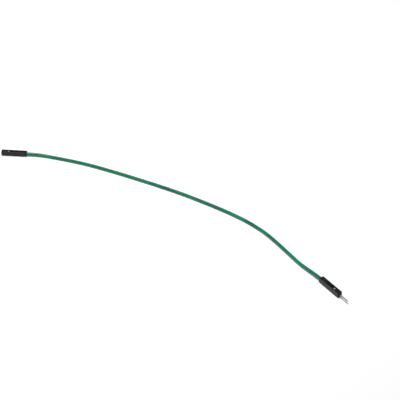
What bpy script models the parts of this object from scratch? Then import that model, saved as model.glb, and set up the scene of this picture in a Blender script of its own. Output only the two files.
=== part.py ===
# Breadboard jumper wire: one insulated lead with a socket housing on one end and a pin housing on the other.
# Metres, +Z up. The lead lies on the plane z = 0, with the socket end at -X and the pin end at +X.
# Each end is built in its own frame: x = 0 is the mating face and +x runs back along the lead.

import math

import bmesh
import bpy
from mathutils import Matrix, Vector
from mathutils.geometry import interpolate_bezier

MM = 0.001

# Conductor: one strand in the middle and a ring of strands round it
STRAND_DIAMETER = 0.25 * MM
STRAND_GAP = 0.006 * MM
RING_STRANDS = 6
STRAND_SIDES = 6
BARE_LENGTH = 3.0 * MM

# Insulation
INSULATION_WALL = 0.42 * MM
BORE_PLAY = 0.015 * MM
LEAD_SIDES = 8
ROUTE_STEPS = 12
LEAD_POINT_SPACING = 3.6 * MM
SURFACE_GAP = 0.01 * MM

# Contacts, stamped from one gauge of strip
STOCK = 0.15 * MM
COINED_BY = 0.02 * MM
CRIMP_PLAY = 0.02 * MM
SEAM = 0.06 * MM
BARREL_SIDES = 15
BOX_LENGTH = 3.45 * MM
BOX_CORNER = 0.12 * MM
NECK_LENGTH = 2.8 * MM
CONDUCTOR_BARREL_LENGTH = 1.8 * MM
BARREL_SPACING = 0.9 * MM
INSULATION_BARREL_LENGTH = 2.0 * MM
BOX_NECK_WIDTH = 1.0 * MM
BARREL_NECK_WIDTH = 0.54 * MM
NECK_OVERLAP = 0.4 * MM
NECK_SINK = 0.09 * MM
INSULATION_END_GAP = 0.25 * MM

# Socket springs, one folded in from each side of the box
SPRING_STOCK = 0.12 * MM
SPRING_HEIGHT = 0.8 * MM
SPRING_PRELOAD = 0.1 * MM
SPRING_ROOT = 0.3 * MM
SPRING_BEND = 0.4 * MM
SPRING_BEND_SHARE = 0.35
SPRING_REACH = 1.3 * MM
SPRING_FLARE = 1.0 * MM
SPRING_FLARE_RISE = 0.15 * MM

# Pin
PIN_SIDE = 0.64 * MM
PIN_EDGE = 0.06 * MM
PIN_LENGTH = 5.9 * MM
PIN_TAPER = 1.0 * MM
PIN_TIP_SHARE = 0.42
PIN_ROOT_LENGTH = 1.0 * MM

# Housings, square outside and 14 mm long
HOUSING_SIDE = 2.54 * MM
HOUSING_EDGE = 0.1 * MM
CONTACT_PLAY = 0.04 * MM
END_PLAY = 0.05 * MM
FRONT_WALL = 1.0 * MM
REAR_COVER = 2.0 * MM
PIN_HOLE_PLAY = 0.13 * MM
LEAD_IN_FLARE = 0.3 * MM
LEAD_IN_DEPTH = 0.45 * MM
WINDOW_WIDTH = 1.36 * MM
WINDOW_LEAD = 1.2 * MM
LANCE_WIDTH = 1.0 * MM
LANCE_LENGTH = 4.3 * MM
LANCE_PLAY = 0.1 * MM
LANCE_NOSE = 0.5 * MM
LANCE_BITE = 0.42 * MM
LANCE_SINK = 0.36 * MM
CUT_OVERRUN = 0.2 * MM

# Where the lead leaves each housing, and the way it leaves, in degrees from +X
SOCKET_EXIT = (-94.2 * MM, 7.0 * MM)
SOCKET_HEADING = 30.0
PIN_EXIT = (93.3 * MM, 5.1 * MM)
PIN_HEADING = 158.6
STRAIGHT_OUT = 1.5 * MM

# The lead's route between the housings, in mm: x, y and how far its underside is off the surface
ROUTE = [
    (-89.4, 9.7, 0.35),
    (-85.6, 11.4, 0.18),
    (-81.2, 12.9, 0.05),
    (-75.8, 14.6, 0.0),
    (-67.2, 17.0, 0.0),
    (-58.0, 19.0, 0.0),
    (-46.0, 20.9, 0.0),
    (-32.0, 22.7, 0.0),
    (-17.0, 24.3, 0.0),
    (-2.0, 25.4, 0.0),
    (13.0, 25.7, 0.0),
    (27.0, 25.4, 0.0),
    (38.0, 24.4, 0.0),
    (45.8, 22.9, 0.0),
    (51.8, 21.3, 0.0),
    (58.2, 18.9, 0.0),
    (65.2, 15.9, 0.0),
    (72.2, 12.8, 0.0),
    (78.8, 9.95, 0.04),
    (83.8, 8.25, 0.16),
    (88.2, 6.9, 0.34),
]

# Sizes that follow: the lead
ring_radius = max(1.0, 0.5 / math.sin(math.pi / RING_STRANDS)) * (STRAND_DIAMETER + STRAND_GAP)
bundle_radius = ring_radius + STRAND_DIAMETER / 2
bore_radius = bundle_radius / math.cos(math.pi / LEAD_SIDES) + BORE_PLAY
lead_radius = bore_radius + INSULATION_WALL

# Sizes that follow: the contacts
contact_half = lead_radius + CRIMP_PLAY + STOCK
box_front = FRONT_WALL + END_PLAY
box_rear = box_front + BOX_LENGTH
conductor_barrel_front = box_rear + NECK_LENGTH
conductor_barrel_rear = conductor_barrel_front + CONDUCTOR_BARREL_LENGTH
insulation_barrel_front = conductor_barrel_rear + BARREL_SPACING
insulation_barrel_rear = insulation_barrel_front + INSULATION_BARREL_LENGTH
insulation_end = insulation_barrel_front - INSULATION_END_GAP
bare_end = insulation_end - BARE_LENGTH

# Sizes that follow: the housings
cavity_half = contact_half + CONTACT_PLAY
housing_half = HOUSING_SIDE / 2
housing_length = insulation_barrel_rear + REAR_COVER
pin_hole_half = PIN_SIDE / 2 + PIN_HOLE_PLAY
lance_tip = box_rear + LANCE_PLAY
window_front = lance_tip - WINDOW_LEAD
window_rear = lance_tip + LANCE_LENGTH


def clear_scene():
    for obj in list(bpy.data.objects):
        bpy.data.objects.remove(obj, do_unlink=True)


def principled(name, colour, roughness, metallic=0.0):
    material = bpy.data.materials.new(name)
    material.use_nodes = True
    shader = material.node_tree.nodes["Principled BSDF"]
    shader.inputs["Base Color"].default_value = (*colour, 1.0)
    shader.inputs["Roughness"].default_value = roughness
    shader.inputs["Metallic"].default_value = metallic
    return material


def object_from_bmesh(name, bm):
    bmesh.ops.recalc_face_normals(bm, faces=bm.faces)
    mesh = bpy.data.meshes.new(name)
    bm.to_mesh(mesh)
    bm.free()
    obj = bpy.data.objects.new(name, mesh)
    bpy.context.collection.objects.link(obj)
    return obj


def block(name, low, high):
    """A box between two corners."""
    size = Vector(high) - Vector(low)
    middle = (Vector(high) + Vector(low)) / 2
    bm = bmesh.new()
    bmesh.ops.create_cube(bm, size=1.0)
    bmesh.ops.scale(bm, vec=size, verts=bm.verts)
    bmesh.ops.translate(bm, vec=middle, verts=bm.verts)
    return object_from_bmesh(name, bm)


def prism(name, outline, run):
    """A flat outline drawn out along the vector run."""
    bm = bmesh.new()
    face = bm.faces.new([bm.verts.new(point) for point in outline])
    drawn = bmesh.ops.extrude_face_region(bm, geom=[face])["geom"]
    moved = [item for item in drawn if isinstance(item, bmesh.types.BMVert)]
    bmesh.ops.translate(bm, vec=run, verts=moved)
    return object_from_bmesh(name, bm)


def loft(name, rings):
    """A solid through rings of points, with its ends closed."""
    bm = bmesh.new()
    loops = [[bm.verts.new(point) for point in ring] for ring in rings]
    for near, far in zip(loops, loops[1:]):
        for i in range(len(near)):
            j = (i + 1) % len(near)
            bm.faces.new((near[i], near[j], far[j], far[i]))
    bm.faces.new(loops[0])
    bm.faces.new(loops[-1])
    return object_from_bmesh(name, bm)


def rectangle(x, half_width, bottom, top):
    """A rectangle across the lead's axis, centred on y = 0."""
    corners = ((-half_width, bottom), (half_width, bottom), (half_width, top), (-half_width, top))
    return [Vector((x, y, z)) for y, z in corners]


def combine(base, tool, operation):
    """Cut the tool from the base, or join it on, and remove the tool."""
    modifier = base.modifiers.new(operation.lower(), "BOOLEAN")
    modifier.operation = operation
    modifier.solver = "EXACT"
    modifier.object = tool
    apply_modifiers(base)
    bpy.data.objects.remove(tool, do_unlink=True)


def apply_modifiers(obj):
    finished = bpy.data.meshes.new_from_object(obj.evaluated_get(bpy.context.evaluated_depsgraph_get()))
    obj.modifiers.clear()
    obj.data = finished


# Housing: one moulding, open at the rear, with a pin hole in front and a locking lance in a window on top

def pin_hole_cutter():
    """A square hole with a flared mouth at the mating face."""
    flare_at_cut_start = pin_hole_half + LEAD_IN_FLARE * (1 + CUT_OVERRUN / LEAD_IN_DEPTH)
    stations = (
        (-CUT_OVERRUN, flare_at_cut_start),
        (LEAD_IN_DEPTH, pin_hole_half),
        (FRONT_WALL + CUT_OVERRUN, pin_hole_half),
    )
    return loft("pin_hole_cutter", [rectangle(x, half, -half, half) for x, half in stations])


def locking_lance():
    """A tongue rooted in the wall behind the window. It slopes in, with its nose behind the contact's box."""
    nose_bottom = contact_half - LANCE_BITE
    nose_top = housing_half - LANCE_SINK
    root = window_rear + CUT_OVERRUN
    side_view = (
        (root, housing_half),
        (window_rear, housing_half),
        (lance_tip, nose_top),
        (lance_tip, nose_bottom),
        (lance_tip + LANCE_NOSE, nose_bottom),
        (window_rear, cavity_half),
        (root, cavity_half),
    )
    outline = [Vector((x, -LANCE_WIDTH / 2, z)) for x, z in side_view]
    return prism("lance", outline, Vector((0, LANCE_WIDTH, 0)))


def housing_mesh():
    body = block(
        "housing",
        (0, -housing_half, -housing_half),
        (housing_length, housing_half, housing_half),
    )
    bevel = body.modifiers.new("edges", "BEVEL")
    bevel.width = HOUSING_EDGE
    bevel.segments = 2
    apply_modifiers(body)
    cavity = block(
        "cavity_cutter",
        (FRONT_WALL, -cavity_half, -cavity_half),
        (housing_length + CUT_OVERRUN, cavity_half, cavity_half),
    )
    window = block(
        "window_cutter",
        (window_front, -WINDOW_WIDTH / 2, cavity_half - CUT_OVERRUN),
        (window_rear, WINDOW_WIDTH / 2, housing_half + CUT_OVERRUN),
    )
    combine(body, cavity, "DIFFERENCE")
    combine(body, pin_hole_cutter(), "DIFFERENCE")
    combine(body, window, "DIFFERENCE")
    combine(body, locking_lance(), "UNION")
    mesh = body.data
    bpy.data.objects.remove(body, do_unlink=True)
    return mesh


# Contacts: a box that the lance locks, a neck, a barrel on the bare strands and a barrel on the insulation

def folded_box():
    """A strip folded to a square tube, with its seam on top."""
    outer = contact_half
    inner = contact_half - STOCK
    corner = contact_half - BOX_CORNER
    seam = SEAM / 2
    right = (
        (seam, outer),
        (corner, outer),
        (outer, corner),
        (outer, -corner),
        (corner, -outer),
    )
    left = tuple((-y, z) for y, z in reversed(right))
    inside = (
        (-seam, inner),
        (-inner, inner),
        (-inner, -inner),
        (inner, -inner),
        (inner, inner),
        (seam, inner),
    )
    outline = [Vector((box_front, y, z)) for y, z in right + left + inside]
    return prism("box", outline, Vector((BOX_LENGTH, 0, 0)))


def rolled_barrel(name, clear_radius, front, length):
    """A strip rolled round something of the clear radius, with its seam on top."""
    seam_angle = SEAM / 2 / clear_radius
    step = (2 * math.pi - 2 * seam_angle) / BARREL_SIDES
    inner = clear_radius / math.cos(step / 2)
    outer = (clear_radius + STOCK) / math.cos(step / 2)
    angles = [seam_angle + step * k for k in range(BARREL_SIDES + 1)]
    inside = [(inner * math.sin(a), inner * math.cos(a)) for a in angles]
    outside = [(outer * math.sin(a), outer * math.cos(a)) for a in reversed(angles)]
    outline = [Vector((front, y, z)) for y, z in inside + outside]
    return prism(name, outline, Vector((length, 0, 0)))


def neck():
    """The strip's floor, up from the box to the barrel on the strands and down to the next one."""
    low_top = -(contact_half - STOCK + COINED_BY)
    low_bottom = -(contact_half - COINED_BY)
    high_top = -(bundle_radius + CRIMP_PLAY + NECK_SINK)
    high_bottom = high_top - STOCK
    drop_end = insulation_end - INSULATION_END_GAP / 2
    wide = BOX_NECK_WIDTH / 2
    narrow = BARREL_NECK_WIDTH / 2
    return loft(
        "neck",
        [
            rectangle(box_rear - NECK_OVERLAP, wide, low_bottom, low_top),
            rectangle(box_rear + NECK_OVERLAP, wide, low_bottom, low_top),
            rectangle(conductor_barrel_front - NECK_OVERLAP, narrow, high_bottom, high_top),
            rectangle(conductor_barrel_rear, narrow, high_bottom, high_top),
            rectangle(drop_end, narrow, low_bottom, low_top),
            rectangle(insulation_barrel_rear - NECK_OVERLAP / 2, narrow, low_bottom, low_top),
        ],
    )


def crimped_contact(name):
    """The pieces that both contacts share, as one stamping."""
    contact = folded_box()
    contact.name = name
    combine(contact, neck(), "UNION")
    strands = rolled_barrel(
        "conductor_barrel", bundle_radius + CRIMP_PLAY, conductor_barrel_front, CONDUCTOR_BARREL_LENGTH
    )
    insulation = rolled_barrel(
        "insulation_barrel", lead_radius + CRIMP_PLAY, insulation_barrel_front, INSULATION_BARREL_LENGTH
    )
    combine(contact, strands, "UNION")
    combine(contact, insulation, "UNION")
    return contact


def bent_strip(points, thickness):
    """The outline of a strip that follows the points on its middle line, with mitred bends."""
    points = [Vector(point) for point in points]
    runs = [(b - a).normalized() for a, b in zip(points, points[1:])]
    sides = [Vector((-run.y, run.x)) for run in runs]
    before = [sides[0]] + sides
    after = sides + [sides[-1]]
    mitres = [(a + b) / (1 + a.dot(b)) * thickness / 2 for a, b in zip(before, after)]
    upper = [point + mitre for point, mitre in zip(points, mitres)]
    lower = [point - mitre for point, mitre in zip(points, mitres)]
    return upper + lower[::-1]


def socket_spring(side):
    """A leaf folded in from one side wall, which dips to the pin's line and flares away."""
    wall = contact_half - STOCK / 2
    dip = PIN_SIDE / 2 - SPRING_PRELOAD + SPRING_STOCK / 2
    x = box_front + SPRING_ROOT
    middle_line = [(x, wall)]
    x += SPRING_BEND
    middle_line.append((x, wall - (wall - dip) * SPRING_BEND_SHARE))
    x += SPRING_REACH
    middle_line.append((x, dip))
    x += SPRING_FLARE
    middle_line.append((x, dip + SPRING_FLARE_RISE))
    outline = bent_strip(middle_line, SPRING_STOCK)
    start = [Vector((x, side * y, -SPRING_HEIGHT / 2)) for x, y in outline]
    return prism("spring", start, Vector((0, 0, SPRING_HEIGHT)))


def chamfered_square(x, half, edge):
    flat = half - edge
    quarter = ((half, -flat), (half, flat), (flat, half), (-flat, half))
    outline = quarter + tuple((-y, -z) for y, z in quarter)
    return [Vector((x, y, z)) for y, z in outline]


def pin_blade():
    """A square pin with eased edges and a tapered tip, which stands out of the mating face."""
    half = PIN_SIDE / 2
    return loft(
        "pin",
        [
            chamfered_square(-PIN_LENGTH, half * PIN_TIP_SHARE, PIN_EDGE * PIN_TIP_SHARE),
            chamfered_square(PIN_TAPER - PIN_LENGTH, half, PIN_EDGE),
            chamfered_square(box_front + PIN_ROOT_LENGTH / 2, half, PIN_EDGE),
        ],
    )


def pin_root():
    """The folded root that fills the front of the box and carries the pin."""
    half = contact_half - STOCK / 2
    return block(
        "pin_root",
        (box_front + STOCK / 2, -half, -half),
        (box_front + PIN_ROOT_LENGTH, half, half),
    )


def socket_contact():
    contact = crimped_contact("socket_contact")
    combine(contact, socket_spring(1), "UNION")
    combine(contact, socket_spring(-1), "UNION")
    return contact


def pin_contact():
    contact = crimped_contact("pin_contact")
    combine(contact, pin_root(), "UNION")
    combine(contact, pin_blade(), "UNION")
    return contact


# Lead: an insulating sleeve over the strands, from crimp to crimp

def end_frame(exit_point, heading):
    """An end's place: its mating face is a housing's length from where the lead leaves it."""
    turn = Matrix.Rotation(math.radians(heading), 4, "Z")
    rear = Vector((*exit_point, housing_half))
    place = rear - turn @ Vector((housing_length, 0, 0))
    return Matrix.Translation(place) @ turn


def origin_shift(socket_frame, pin_frame):
    """Minus the middle of the box round both ends, so that the origin is under the middle of the object."""
    footprint = [Vector((x, y, 0)) for x in (0, housing_length) for y in (-housing_half, housing_half)]
    corners = [frame @ corner for frame in (socket_frame, pin_frame) for corner in footprint]
    corners.append(pin_frame @ Vector((-PIN_LENGTH, 0, 0)))
    middle = [(min(c[i] for c in corners) + max(c[i] for c in corners)) / 2 for i in (0, 1)]
    return Vector((-middle[0], -middle[1], 0))


def smooth_through(points):
    """A smooth line through the points, as closely spaced points."""
    last = len(points) - 1
    ways = [(points[min(i + 1, last)] - points[max(i - 1, 0)]).normalized() for i in range(last + 1)]
    line = [points[0]]
    for i in range(last):
        third = (points[i + 1] - points[i]).length / 3
        leave = points[i] + ways[i] * third
        arrive = points[i + 1] - ways[i + 1] * third
        line += interpolate_bezier(points[i], leave, arrive, points[i + 1], ROUTE_STEPS)[1:]
    return line


def evenly_spaced(line, spacing):
    """Points along the line at equal distances near the spacing, with both ends kept."""
    reach = [0.0]
    for a, b in zip(line, line[1:]):
        reach.append(reach[-1] + (b - a).length)
    count = max(2, round(reach[-1] / spacing))
    points = []
    k = 0
    for i in range(count + 1):
        wanted = reach[-1] * i / count
        while k < len(line) - 2 and reach[k + 1] < wanted:
            k += 1
        share = (wanted - reach[k]) / (reach[k + 1] - reach[k])
        points.append(line[k].lerp(line[k + 1], share))
    return points


def lead_path(socket_frame, pin_frame, shift):
    """The lead's middle line, from where the insulation ends in one housing to where it ends in the other."""
    lying = lead_radius + SURFACE_GAP
    route = [Vector((x * MM, y * MM, z * MM + lying)) + shift for x, y, z in ROUTE]
    halfway = (insulation_end + housing_length) / 2
    on_axis = (insulation_end, halfway, housing_length, housing_length + STRAIGHT_OUT)
    start = [socket_frame @ Vector((x, 0, 0)) for x in on_axis]
    end = [pin_frame @ Vector((x, 0, 0)) for x in reversed(on_axis)]
    return evenly_spaced(smooth_through(start + route + end), LEAD_POINT_SPACING)


def tube(name, points, radius, sides):
    """A round curve through the points, with its ends closed."""
    curve = bpy.data.curves.new(name, "CURVE")
    curve.dimensions = "3D"
    curve.bevel_depth = radius
    curve.bevel_resolution = (sides - 4) // 2
    curve.use_fill_caps = True
    spline = curve.splines.new("POLY")
    spline.points.add(len(points) - 1)
    for target, point in zip(spline.points, points):
        target.co = (*point, 1.0)
    obj = bpy.data.objects.new(name, curve)
    bpy.context.collection.objects.link(obj)
    return obj


def insulation(path):
    """A sleeve: the outer tube is left open at its ends and gets its wall inwards."""
    sleeve = tube("wire_insulation", path, lead_radius, LEAD_SIDES)
    sleeve.data.use_fill_caps = False
    wall = sleeve.modifiers.new("wall", "SOLIDIFY")
    wall.thickness = INSULATION_WALL
    wall.offset = -1.0
    return sleeve


def strand_paths(path):
    """The middle strand's line and the ring's lines beside it."""
    last = len(path) - 1
    lines = [[] for _ in range(RING_STRANDS)]
    for i, point in enumerate(path):
        along = (path[min(i + 1, last)] - path[max(i - 1, 0)]).normalized()
        side = Vector((0, 0, 1)).cross(along).normalized()
        up = along.cross(side)
        for k, line in enumerate(lines):
            angle = 2 * math.pi * k / RING_STRANDS
            line.append(point + ring_radius * (math.cos(angle) * side + math.sin(angle) * up))
    return [path] + lines


def place_end(name, frame, pieces):
    """An empty at the mating face carries the end's pieces."""
    holder = bpy.data.objects.new(name, None)
    bpy.context.collection.objects.link(holder)
    holder.location = frame.to_translation()
    holder.rotation_euler = frame.to_euler()
    for piece in pieces:
        piece.parent = holder


def finish(obj, material):
    obj.data.materials.clear()
    obj.data.materials.append(material)
    return obj


def build():
    clear_scene()
    black_nylon = principled("black moulded nylon", (0.012, 0.011, 0.011), 0.42)
    tin = principled("tin plate", (0.72, 0.72, 0.73), 0.28, 1.0)
    green_pvc = principled("green vinyl", (0.004, 0.29, 0.13), 0.3)
    copper = principled("tinned copper", (0.78, 0.66, 0.56), 0.35, 1.0)

    shell = housing_mesh()
    socket_housing = bpy.data.objects.new("socket_housing", shell)
    pin_housing = bpy.data.objects.new("pin_housing", shell.copy())
    for housing in (socket_housing, pin_housing):
        bpy.context.collection.objects.link(housing)
        finish(housing, black_nylon)
    socket = finish(socket_contact(), tin)
    pin = finish(pin_contact(), tin)

    socket_frame = end_frame(SOCKET_EXIT, SOCKET_HEADING)
    pin_frame = end_frame(PIN_EXIT, PIN_HEADING)
    shift = origin_shift(socket_frame, pin_frame)
    socket_frame = Matrix.Translation(shift) @ socket_frame
    pin_frame = Matrix.Translation(shift) @ pin_frame
    place_end("socket_end", socket_frame, (socket_housing, socket))
    place_end("pin_end", pin_frame, (pin_housing, pin))

    path = lead_path(socket_frame, pin_frame, shift)
    finish(insulation(path), green_pvc)
    bare = [socket_frame @ Vector((bare_end, 0, 0))] + path + [pin_frame @ Vector((bare_end, 0, 0))]
    for number, line in enumerate(strand_paths(bare), start=1):
        finish(tube(f"strand_{number}", line, STRAND_DIAMETER / 2, STRAND_SIDES), copper)


build()
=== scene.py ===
# A breadboard jumper wire: a green lead between a black socket housing and a black pin housing.
# It lies in a loose curve on a plain pale table. Metres, +Z up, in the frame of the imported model.

import math

import bpy
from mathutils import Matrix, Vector
from mathutils.geometry import interpolate_bezier


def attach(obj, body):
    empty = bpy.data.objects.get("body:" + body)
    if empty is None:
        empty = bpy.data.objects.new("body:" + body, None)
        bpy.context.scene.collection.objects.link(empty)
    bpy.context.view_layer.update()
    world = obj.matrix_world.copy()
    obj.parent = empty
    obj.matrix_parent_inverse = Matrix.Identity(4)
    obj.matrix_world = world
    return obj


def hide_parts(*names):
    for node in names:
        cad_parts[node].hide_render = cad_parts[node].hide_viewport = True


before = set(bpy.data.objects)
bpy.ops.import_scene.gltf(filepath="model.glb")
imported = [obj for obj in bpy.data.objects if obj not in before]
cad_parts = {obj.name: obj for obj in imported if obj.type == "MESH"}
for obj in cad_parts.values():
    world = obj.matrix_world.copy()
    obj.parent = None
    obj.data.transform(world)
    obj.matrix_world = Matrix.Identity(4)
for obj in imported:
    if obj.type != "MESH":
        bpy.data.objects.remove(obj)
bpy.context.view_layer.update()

MM = 0.001

# The view: 34 degrees above the table, from the near right of the lead
VIEW_AZIMUTH = 35.77
VIEW_ELEVATION = 34.0
VIEW_DISTANCE = 0.598
VIEW_TARGET = (0.00534, 0.0242, 0.0)
FOCAL_PIXELS = 1159.2
PHOTO_PIXELS = 400
SENSOR_WIDTH = 36.0
CLIP_START = 10 * MM

# The lead, on the same route as its solid. It starts and ends inside the housings, where the crimps
# grip it, and lies a hair above the table. Points are in metres.
LEAD_RADIUS = 0.8474 * MM
INSULATION_WALL = 0.42 * MM
LEAD_LENGTH = 202 * MM
LEAD_SIDES = 24
ROUTE_STEPS = 9
TABLE_GAP = 0.01 * MM
LYING_HEIGHT = LEAD_RADIUS + TABLE_GAP
STRAIGHT_OUT = 1.5 * MM
SOCKET_START = (-0.100315, 0.001905, 0.001270)
SOCKET_EXIT = (-0.096634, 0.004030, 0.001270)
PIN_EXIT = (0.090866, 0.002130, 0.001270)
PIN_START = (0.094823, 0.000580, 0.001270)

# Between the housings: x and y in metres, and how far it is lifted off the table in millimetres
ROUTE = [
    (-0.091834, 0.006730, 0.35),
    (-0.088034, 0.008430, 0.18),
    (-0.083634, 0.009930, 0.05),
    (-0.078234, 0.011630, 0.0),
    (-0.069634, 0.014030, 0.0),
    (-0.060434, 0.016030, 0.0),
    (-0.048434, 0.017930, 0.0),
    (-0.034434, 0.019730, 0.0),
    (-0.019434, 0.021330, 0.0),
    (-0.004434, 0.022430, 0.0),
    (0.010566, 0.022730, 0.0),
    (0.024566, 0.022430, 0.0),
    (0.035566, 0.021430, 0.0),
    (0.043366, 0.019930, 0.0),
    (0.049366, 0.018330, 0.0),
    (0.055766, 0.015930, 0.0),
    (0.062766, 0.012930, 0.0),
    (0.069766, 0.009830, 0.0),
    (0.076366, 0.006980, 0.04),
    (0.081366, 0.005280, 0.16),
    (0.085766, 0.003930, 0.34),
]

# The housings, and each end's name, the middle of its rear face, and the way that the lead leaves it,
# in degrees from +X
HOUSING_LENGTH = 14.0 * MM
HOUSING_SIDE = 2.54 * MM
ENDS = (
    ("socket", SOCKET_EXIT, 30.0),
    ("pin", PIN_EXIT, 158.6),
)
STRANDS = [f"strand_{number}" for number in range(1, 8)]

# The die leaves this many fine lines round the insulation
DIE_LINES = 30

# The table, and the little light of its own that it shows to the camera and in reflections
TABLE_SIDE = 4.0
TABLE_LIFT = 0.12

# The light: each lamp's name, place, width and height in metres, and watts
LAMPS = (
    ("overhead softbox", (-0.12, -0.08, 0.85), (0.4, 0.4), 5.0),
    ("back softbox", (-0.22, 0.17, 0.8), (0.25, 0.25), 3.1),
    ("far strip", (-0.4, 0.515, 0.45), (0.55, 0.12), 0.15),
)
LAMP_TARGET = (0, 0.01, 0)
WORLD_STRENGTH = 0.06


def srgb(code):
    """A hex colour as linear red, green, blue and full alpha."""
    channels = [int(code[i:i + 2], 16) / 255 for i in (1, 3, 5)]
    linear = [c / 12.92 if c <= 0.04045 else ((c + 0.055) / 1.055) ** 2.4 for c in channels]
    return (*linear, 1.0)


def node(tree, kind, settings=None, inputs=None, links=None, stops=()):
    """Adds a shader node, sets it up, gives a ramp its stops and links its sockets from others."""
    made = tree.nodes.new(kind)
    for name, value in (settings or {}).items():
        setattr(made, name, value)
    for socket, value in (inputs or {}).items():
        made.inputs[socket].default_value = value
    for socket, source in (links or {}).items():
        tree.links.new(source, made.inputs[socket])
    for number, (position, code) in enumerate(stops):
        made.color_ramp.elements[number].position = position
        made.color_ramp.elements[number].color = srgb(code)
    return made


def look_at(obj, target):
    """Turns a camera or a lamp to face a point."""
    way = Vector(target) - obj.location
    obj.rotation_euler = way.to_track_quat("-Z", "Y").to_euler()


def make_camera():
    """The camera, at the photograph's viewing angle."""
    azimuth = math.radians(VIEW_AZIMUTH)
    elevation = math.radians(VIEW_ELEVATION)
    away = Vector((
        math.sin(azimuth) * math.cos(elevation),
        -math.cos(azimuth) * math.cos(elevation),
        math.sin(elevation),
    ))
    camera = bpy.data.objects.new("camera", bpy.data.cameras.new("camera"))
    bpy.context.scene.collection.objects.link(camera)
    camera.data.sensor_width = SENSOR_WIDTH
    camera.data.lens = SENSOR_WIDTH * FOCAL_PIXELS / PHOTO_PIXELS
    camera.data.clip_start = CLIP_START
    camera.location = Vector(VIEW_TARGET) + away * VIEW_DISTANCE
    look_at(camera, VIEW_TARGET)
    bpy.context.scene.camera = camera


# Materials

def new_material(name):
    """A node material, with its node tree and its Principled shader."""
    material = bpy.data.materials.new(name)
    material.use_nodes = True
    return material, material.node_tree, material.node_tree.nodes["Principled BSDF"]


def extruded_green_vinyl():
    """Plasticised vinyl, drawn hot over the strands: deep green, with a wet-looking gloss.
    Fine lines from the die run along it, and the colour is a little uneven from place to place."""
    material, tree, shader = new_material("extruded green vinyl")
    shader.inputs["IOR"].default_value = 1.53
    # its skin is a little dulled by handling
    shader.inputs["Specular IOR Level"].default_value = 0.4
    place = node(tree, "ShaderNodeTexCoord")
    # V goes once round the lead, where a wave of scale 1 has 10 / pi bands
    die_lines = node(
        tree,
        "ShaderNodeTexWave",
        settings={"wave_type": "BANDS", "bands_direction": "Y", "wave_profile": "SIN"},
        inputs={"Scale": math.pi * DIE_LINES / 10, "Distortion": 0.0},
        links={"Vector": place.outputs["UV"]},
    )
    # each patch of lines fades out within about 9 mm of lead
    patches = node(
        tree,
        "ShaderNodeMapping",
        inputs={"Scale": (LEAD_LENGTH / (9 * MM), 3.0, 1.0)},
        links={"Vector": place.outputs["UV"]},
    )
    patchiness = node(
        tree,
        "ShaderNodeTexNoise",
        inputs={"Scale": 1.0, "Detail": 2.0},
        links={"Vector": patches.outputs[0]},
    )
    lines = node(
        tree,
        "ShaderNodeMath",
        settings={"operation": "MULTIPLY"},
        links={0: die_lines.outputs["Fac"], 1: patchiness.outputs["Fac"]},
    )
    # a faint orange peel, its bumps about 0.4 mm across
    peel = node(
        tree,
        "ShaderNodeTexNoise",
        inputs={"Scale": 1 / (0.4 * MM), "Detail": 2.0, "Roughness": 0.4},
        links={"Vector": place.outputs["Object"]},
    )
    # the lines are about half as deep as the peel
    relief = node(
        tree,
        "ShaderNodeMath",
        settings={"operation": "MULTIPLY_ADD"},
        inputs={1: 0.6},
        links={0: lines.outputs[0], 2: peel.outputs["Fac"]},
    )
    bump = node(
        tree,
        "ShaderNodeBump",
        inputs={"Strength": 0.25, "Distance": 0.012 * MM},
        links={"Height": relief.outputs[0]},
    )
    tree.links.new(bump.outputs[0], shader.inputs["Normal"])
    # the pigment varies over about 14 mm of lead
    cloud = node(
        tree,
        "ShaderNodeTexNoise",
        inputs={"Scale": 1 / (14 * MM), "Detail": 3.0},
        links={"Vector": place.outputs["Object"]},
    )
    green = node(
        tree,
        "ShaderNodeValToRGB",
        links={"Fac": cloud.outputs["Fac"]},
        stops=((0.35, "#066f50"), (0.65, "#088a62")),
    )
    tree.links.new(green.outputs[0], shader.inputs["Base Color"])
    # handling leaves the gloss a little duller in patches of about 3 mm
    handling = node(
        tree,
        "ShaderNodeTexNoise",
        inputs={"Scale": 1 / (3 * MM), "Detail": 4.0},
        links={"Vector": place.outputs["Object"]},
    )
    gloss = node(
        tree,
        "ShaderNodeMapRange",
        inputs={"From Min": 0.3, "From Max": 0.7, "To Min": 0.18, "To Max": 0.3},
        links={"Value": handling.outputs["Fac"]},
    )
    tree.links.new(gloss.outputs[0], shader.inputs["Roughness"])
    return material


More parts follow.
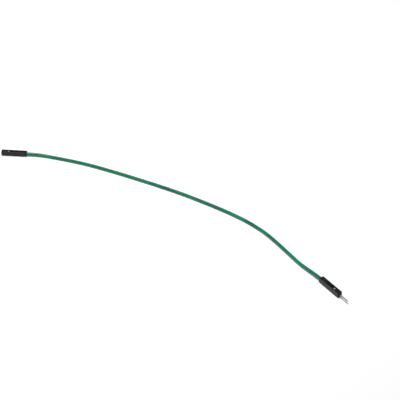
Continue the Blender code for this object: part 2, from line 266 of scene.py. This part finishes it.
def moulded_black_nylon(name, exit_point, heading):
    """Nylon moulded in a spark-eroded tool: soot black with a satin grain.
    Its edges are rubbed a little greyer, and handling has left faint scuffs along it."""
    material, tree, shader = new_material(name)
    shader.inputs["IOR"].default_value = 1.53
    # the grain scatters a part of the gloss
    shader.inputs["Specular IOR Level"].default_value = 0.29
    place = node(tree, "ShaderNodeTexCoord")
    # the patterns are centred on the housing and turned with it
    turn = math.radians(heading)
    middle = Vector(exit_point) - Vector((math.cos(turn), math.sin(turn), 0)) * HOUSING_LENGTH / 2
    centred = node(
        tree,
        "ShaderNodeMapping",
        settings={"vector_type": "TEXTURE"},
        inputs={"Location": middle, "Rotation": (0, 0, turn)},
        links={"Vector": place.outputs["Object"]},
    )
    # the eroded grain is about 0.05 mm, drawn at 0.1 mm so that it still shows
    grain = node(
        tree,
        "ShaderNodeTexNoise",
        inputs={"Scale": 1 / (0.1 * MM), "Detail": 3.0, "Roughness": 0.6},
        links={"Vector": centred.outputs[0]},
    )
    # the walls draw in by a hair as they cool, over about 4 mm, and deeper than the grain
    sink = node(
        tree,
        "ShaderNodeTexNoise",
        inputs={"Scale": 1 / (4 * MM), "Detail": 1.0},
        links={"Vector": centred.outputs[0]},
    )
    relief = node(
        tree,
        "ShaderNodeMath",
        settings={"operation": "MULTIPLY_ADD"},
        inputs={1: 5.0},
        links={0: sink.outputs["Fac"], 2: grain.outputs["Fac"]},
    )
    bump = node(
        tree,
        "ShaderNodeBump",
        inputs={"Strength": 0.6, "Distance": 0.014 * MM},
        links={"Height": relief.outputs[0]},
    )
    tree.links.new(bump.outputs[0], shader.inputs["Normal"])
    # how far a point lies past each pair of faces, below zero inside; the second largest of the three
    # tells how near it is to an edge
    size = node(
        tree,
        "ShaderNodeVectorMath",
        settings={"operation": "ABSOLUTE"},
        links={0: centred.outputs[0]},
    )
    past = node(
        tree,
        "ShaderNodeVectorMath",
        settings={"operation": "SUBTRACT"},
        inputs={1: (HOUSING_LENGTH / 2, HOUSING_SIDE / 2, HOUSING_SIDE / 2)},
        links={0: size.outputs[0]},
    )
    axis = node(tree, "ShaderNodeSeparateXYZ", links={0: past.outputs[0]})
    pairs = [
        node(
            tree,
            "ShaderNodeMath",
            settings={"operation": "MAXIMUM"},
            links={0: axis.outputs[a], 1: axis.outputs[b]},
        )
        for a, b in ((0, 1), (1, 2), (0, 2))
    ]
    edge = pairs[0]
    for pair in pairs[1:]:
        edge = node(
            tree,
            "ShaderNodeMath",
            settings={"operation": "MINIMUM"},
            links={0: edge.outputs[0], 1: pair.outputs[0]},
        )
    # rubbed within 0.03 mm of an edge, and no more beyond 0.14 mm
    rubbed = node(
        tree,
        "ShaderNodeMapRange",
        inputs={"From Min": -0.14 * MM, "From Max": -0.03 * MM, "To Min": 0.0, "To Max": 1.0},
        links={"Value": edge.outputs[0]},
    )
    # the rubbing comes and goes over about 0.7 mm
    uneven = node(
        tree,
        "ShaderNodeTexNoise",
        inputs={"Scale": 1 / (0.7 * MM), "Detail": 3.0},
        links={"Vector": centred.outputs[0]},
    )
    wear = node(
        tree,
        "ShaderNodeMath",
        settings={"operation": "MULTIPLY"},
        links={0: rubbed.outputs[0], 1: uneven.outputs["Fac"]},
    )
    # scuffs about 0.1 mm wide and 3 mm long, along the housing
    long_way = node(
        tree,
        "ShaderNodeMapping",
        inputs={"Scale": (1 / (3 * MM), 1 / (0.1 * MM), 1 / (0.1 * MM))},
        links={"Vector": centred.outputs[0]},
    )
    streaks = node(
        tree,
        "ShaderNodeTexNoise",
        inputs={"Scale": 1.0, "Detail": 2.0},
        links={"Vector": long_way.outputs[0]},
    )
    scuffs = node(
        tree,
        "ShaderNodeMapRange",
        inputs={"From Min": 0.62, "From Max": 0.74, "To Min": 0.0, "To Max": 0.2},
        links={"Value": streaks.outputs["Fac"]},
    )
    worn = node(
        tree,
        "ShaderNodeMath",
        settings={"operation": "MAXIMUM"},
        links={0: wear.outputs[0], 1: scuffs.outputs[0]},
    )
    # flow from the gate leaves faint clouds in the black, about 2.5 mm across
    cloud = node(
        tree,
        "ShaderNodeTexNoise",
        inputs={"Scale": 1 / (2.5 * MM), "Detail": 4.0, "Distortion": 0.6},
        links={"Vector": centred.outputs[0]},
    )
    black = node(
        tree,
        "ShaderNodeValToRGB",
        links={"Fac": cloud.outputs["Fac"]},
        stops=((0.3, "#0b0a0c"), (0.75, "#141215")),
    )
    colour = node(
        tree,
        "ShaderNodeMix",
        settings={"data_type": "RGBA"},
        inputs={"B": srgb("#39363a")},
        links={"Factor": worn.outputs[0], "A": black.outputs[0]},
    )
    tree.links.new(colour.outputs["Result"], shader.inputs["Base Color"])
    satin = node(
        tree,
        "ShaderNodeMapRange",
        inputs={"From Min": 0.3, "From Max": 0.7, "To Min": 0.2, "To Max": 0.3},
        links={"Value": cloud.outputs["Fac"]},
    )
    # scuffs are a little duller than the satin round them
    dulled = node(
        tree,
        "ShaderNodeMath",
        settings={"operation": "MULTIPLY_ADD"},
        inputs={1: 0.3},
        links={0: scuffs.outputs[0], 2: satin.outputs[0]},
    )
    tree.links.new(dulled.outputs[0], shader.inputs["Roughness"])
    return material


def rolled_tin_plate(name, heading):
    """Bronze strip, rolled and tin plated: a bright, slightly warm grey.
    Faint rolling lines run along the strip, and the plating is frosted in places."""
    material, tree, shader = new_material(name)
    shader.inputs["Metallic"].default_value = 1.0
    place = node(tree, "ShaderNodeTexCoord")
    turned = node(
        tree,
        "ShaderNodeMapping",
        settings={"vector_type": "TEXTURE"},
        inputs={"Rotation": (0, 0, math.radians(heading))},
        links={"Vector": place.outputs["Object"]},
    )
    # rolling lines: about 0.02 mm apart, drawn at 0.05 mm so that they still show, and 3 mm long
    stretched = node(
        tree,
        "ShaderNodeMapping",
        inputs={"Scale": (1 / (3 * MM), 1 / (0.05 * MM), 1 / (0.05 * MM))},
        links={"Vector": turned.outputs[0]},
    )
    rolling = node(
        tree,
        "ShaderNodeTexNoise",
        inputs={"Scale": 1.0, "Detail": 3.0},
        links={"Vector": stretched.outputs[0]},
    )
    bump = node(
        tree,
        "ShaderNodeBump",
        inputs={"Strength": 0.15, "Distance": 0.006 * MM},
        links={"Height": rolling.outputs["Fac"]},
    )
    tree.links.new(bump.outputs[0], shader.inputs["Normal"])
    # the plating is a little frosted in patches of about 0.8 mm
    frost = node(
        tree,
        "ShaderNodeTexNoise",
        inputs={"Scale": 1 / (0.8 * MM), "Detail": 2.0},
        links={"Vector": turned.outputs[0]},
    )
    tin = node(
        tree,
        "ShaderNodeValToRGB",
        links={"Fac": frost.outputs["Fac"]},
        stops=((0.3, "#c4c0bb"), (0.7, "#dad6d1")),
    )
    tree.links.new(tin.outputs[0], shader.inputs["Base Color"])
    dullness = node(
        tree,
        "ShaderNodeMapRange",
        inputs={"From Min": 0.3, "From Max": 0.7, "To Min": 0.2, "To Max": 0.32},
        links={"Value": frost.outputs["Fac"]},
    )
    # the rolling lines catch the light a little on their own
    brushed = node(
        tree,
        "ShaderNodeMath",
        settings={"operation": "MULTIPLY_ADD"},
        inputs={1: 0.12},
        links={0: rolling.outputs["Fac"], 2: dullness.outputs[0]},
    )
    tree.links.new(brushed.outputs[0], shader.inputs["Roughness"])
    return material


def drawn_tinned_copper():
    """Copper strand, drawn through a die and dipped in tin.
    It is a warm grey, and copper shows through where the tin is thin."""
    material, tree, shader = new_material("drawn tinned copper")
    shader.inputs["Metallic"].default_value = 1.0
    place = node(tree, "ShaderNodeTexCoord")
    # the tin is thin in spots of about 0.2 mm
    thin_tin = node(
        tree,
        "ShaderNodeTexNoise",
        inputs={"Scale": 1 / (0.2 * MM), "Detail": 4.0},
        links={"Vector": place.outputs["Object"]},
    )
    metal = node(
        tree,
        "ShaderNodeValToRGB",
        links={"Fac": thin_tin.outputs["Fac"]},
        stops=((0.4, "#cfc6ba"), (0.8, "#c9956f")),
    )
    tree.links.new(metal.outputs[0], shader.inputs["Base Color"])
    dullness = node(
        tree,
        "ShaderNodeMapRange",
        inputs={"From Min": 0.3, "From Max": 0.7, "To Min": 0.24, "To Max": 0.4},
        links={"Value": thin_tin.outputs["Fac"]},
    )
    tree.links.new(dullness.outputs[0], shader.inputs["Roughness"])
    bump = node(
        tree,
        "ShaderNodeBump",
        inputs={"Strength": 0.2, "Distance": 0.006 * MM},
        links={"Height": thin_tin.outputs["Fac"]},
    )
    tree.links.new(bump.outputs[0], shader.inputs["Normal"])
    return material


def dress(name, material):
    """Gives a solid of the model its finish."""
    solid = bpy.data.objects[name]
    solid.data.materials.clear()
    solid.data.materials.append(material)


# The lead

def smooth_through(points, steps):
    """A smooth line through the points, as closely spaced points."""
    last = len(points) - 1
    ways = [
        (points[min(i + 1, last)] - points[max(i - 1, 0)]).normalized()
        for i in range(last + 1)
    ]
    line = [points[0]]
    for i in range(last):
        here, there = points[i], points[i + 1]
        third = (there - here).length / 3
        near_here = here + ways[i] * third
        near_there = there - ways[i + 1] * third
        line += interpolate_bezier(here, near_here, near_there, there, steps)[1:]
    return line


def lead_end(start, exit_point):
    """The straight stretch inside a housing and for a little way out of it."""
    start = Vector(start)
    exit_point = Vector(exit_point)
    out = (exit_point - start).normalized() * STRAIGHT_OUT
    return [start, (start + exit_point) / 2, exit_point, exit_point + out]


def lead_line():
    """The middle line of the lead, from the socket contact to the pin contact."""
    route = [Vector((x, y, LYING_HEIGHT + lift * MM)) for x, y, lift in ROUTE]
    socket_end = lead_end(SOCKET_START, SOCKET_EXIT)
    pin_end = lead_end(PIN_START, PIN_EXIT)
    return smooth_through(socket_end + route + pin_end[::-1], ROUTE_STEPS)


def make_lead(material):
    """The insulation, a hollow tube along the middle line."""
    line = lead_line()
    curve = bpy.data.curves.new("lead", "CURVE")
    curve.dimensions = "3D"
    curve.bevel_depth = LEAD_RADIUS
    # a round bevel has four sides, and two more for each step of its resolution
    curve.bevel_resolution = (LEAD_SIDES - 4) // 2
    spline = curve.splines.new("POLY")
    spline.points.add(len(line) - 1)
    for target, point in zip(spline.points, line):
        target.co = (*point, 1.0)
    lead = bpy.data.objects.new("lead", curve)
    bpy.context.scene.collection.objects.link(lead)
    wall = lead.modifiers.new("wall", "SOLIDIFY")
    wall.thickness = INSULATION_WALL
    wall.offset = -1.0
    curve.materials.append(material)
    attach(lead, "root")
    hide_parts("wire_insulation")


# The table and the light

def make_table():
    """A table top of matt white card: a plain pale ground that takes a soft shadow and has no gloss."""
    bpy.ops.mesh.primitive_plane_add(size=TABLE_SIDE, location=(0, 0, 0))
    table = bpy.context.active_object
    table.name = "table"
    material = bpy.data.materials.new("matt white card")
    material.use_nodes = True
    tree = material.node_tree
    tree.nodes.clear()
    card = node(tree, "ShaderNodeBsdfDiffuse", inputs={"Color": srgb("#f4f4f4")})
    # rays from the camera, from gloss and through clear pieces see the card a little lighter
    path = node(tree, "ShaderNodeLightPath")
    seen = path.outputs["Is Camera Ray"]
    for ray in ("Is Glossy Ray", "Is Transmission Ray"):
        either = node(
            tree,
            "ShaderNodeMath",
            settings={"operation": "MAXIMUM"},
            links={0: seen, 1: path.outputs[ray]},
        )
        seen = either.outputs[0]
    lift = node(
        tree,
        "ShaderNodeMath",
        settings={"operation": "MULTIPLY"},
        inputs={1: TABLE_LIFT},
        links={0: seen},
    )
    glow = node(
        tree,
        "ShaderNodeEmission",
        inputs={"Color": srgb("#ffffff")},
        links={"Strength": lift.outputs[0]},
    )
    both = node(tree, "ShaderNodeAddShader", links={0: card.outputs[0], 1: glow.outputs[0]})
    node(tree, "ShaderNodeOutputMaterial", links={"Surface": both.outputs[0]})
    table.data.materials.append(material)


def area_lamp(name, place, size, watts):
    """A rectangular lamp that faces the middle of the lead."""
    lamp = bpy.data.objects.new(name, bpy.data.lights.new(name, "AREA"))
    bpy.context.scene.collection.objects.link(lamp)
    lamp.data.shape = "RECTANGLE"
    lamp.data.size, lamp.data.size_y = size
    lamp.data.energy = watts
    lamp.location = place
    look_at(lamp, LAMP_TARGET)


def make_light():
    """Soft studio light: two softboxes above, a strip at the far side and a dim white room."""
    world = bpy.data.worlds.new("studio")
    bpy.context.scene.world = world
    world.use_nodes = True
    background = world.node_tree.nodes["Background"]
    background.inputs["Color"].default_value = srgb("#ffffff")
    background.inputs["Strength"].default_value = WORLD_STRENGTH
    for lamp in LAMPS:
        area_lamp(*lamp)


make_camera()
make_lead(extruded_green_vinyl())
for end, exit_point, heading in ENDS:
    dress(f"{end}_housing", moulded_black_nylon(f"moulded black nylon, {end}", exit_point, heading))
    dress(f"{end}_contact", rolled_tin_plate(f"rolled tin plate, {end}", heading))
copper = drawn_tinned_copper()
for strand in STRANDS:
    dress(strand, copper)
make_table()
make_light()

bpy.context.scene.view_settings.view_transform = "Standard"
